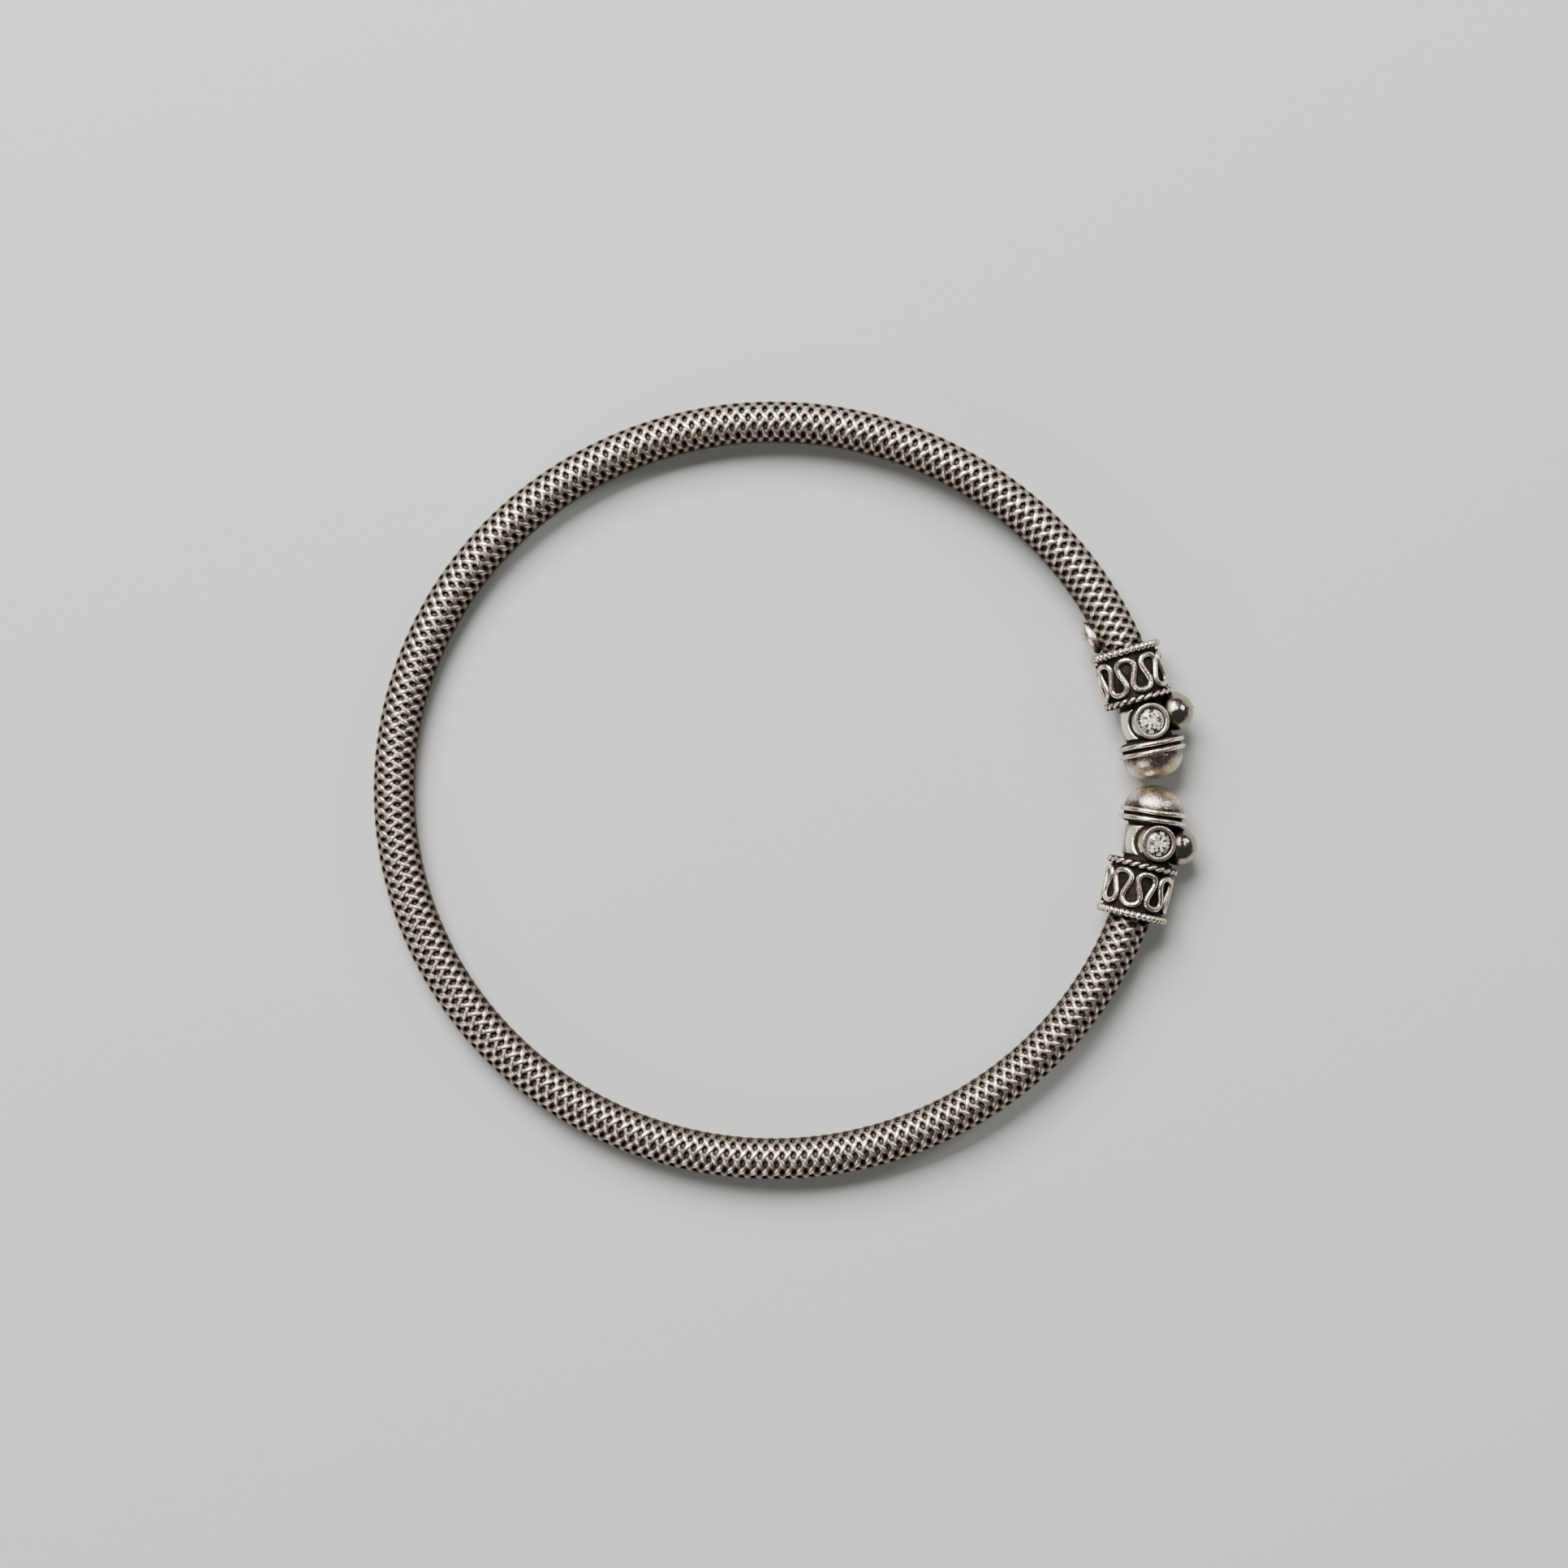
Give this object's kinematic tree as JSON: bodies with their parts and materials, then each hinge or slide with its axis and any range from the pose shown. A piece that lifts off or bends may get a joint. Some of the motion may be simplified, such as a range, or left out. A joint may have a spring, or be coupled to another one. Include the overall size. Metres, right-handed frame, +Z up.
{
  "type": "ankle bangle",
  "caption": "Open oval ankle bangle of oxidised silver: a woven mesh tube whose facing domed caps carry serpentine wire collars, a polished ball and bezel-set clear stones.",
  "frame": {"origin": "on the surface that the bangle lies on, under the middle of its bounding box", "axes": "+X from the tube's far side towards the gap between the two caps, +Z up out of the surface, so that the hollow for the ankle runs along Z; +Y towards the upper cap"},
  "size_m": [0.0964, 0.091, 0.0085],
  "materials": {
    "woven_silver": "oxidised silver mesh, bright on the raised strands and near black between them",
    "cap_silver": "oxidised silver, raised wires and bezels rubbed bright, grounds near black, domes with warm brown tarnish",
    "bright_silver": "smooth bright silver with light wear",
    "clear_stone": "clear faceted stone"
  },
  "bodies": {
    "root": {"woven_tube": "woven_silver", "upper_cap": "cap_silver", "upper_top_stone": "clear_stone", "upper_under_stone": "clear_stone", "lower_cap": "cap_silver", "lower_top_stone": "clear_stone", "lower_under_stone": "clear_stone", "inner_tab": "bright_silver"}
  },
  "joints": []
}
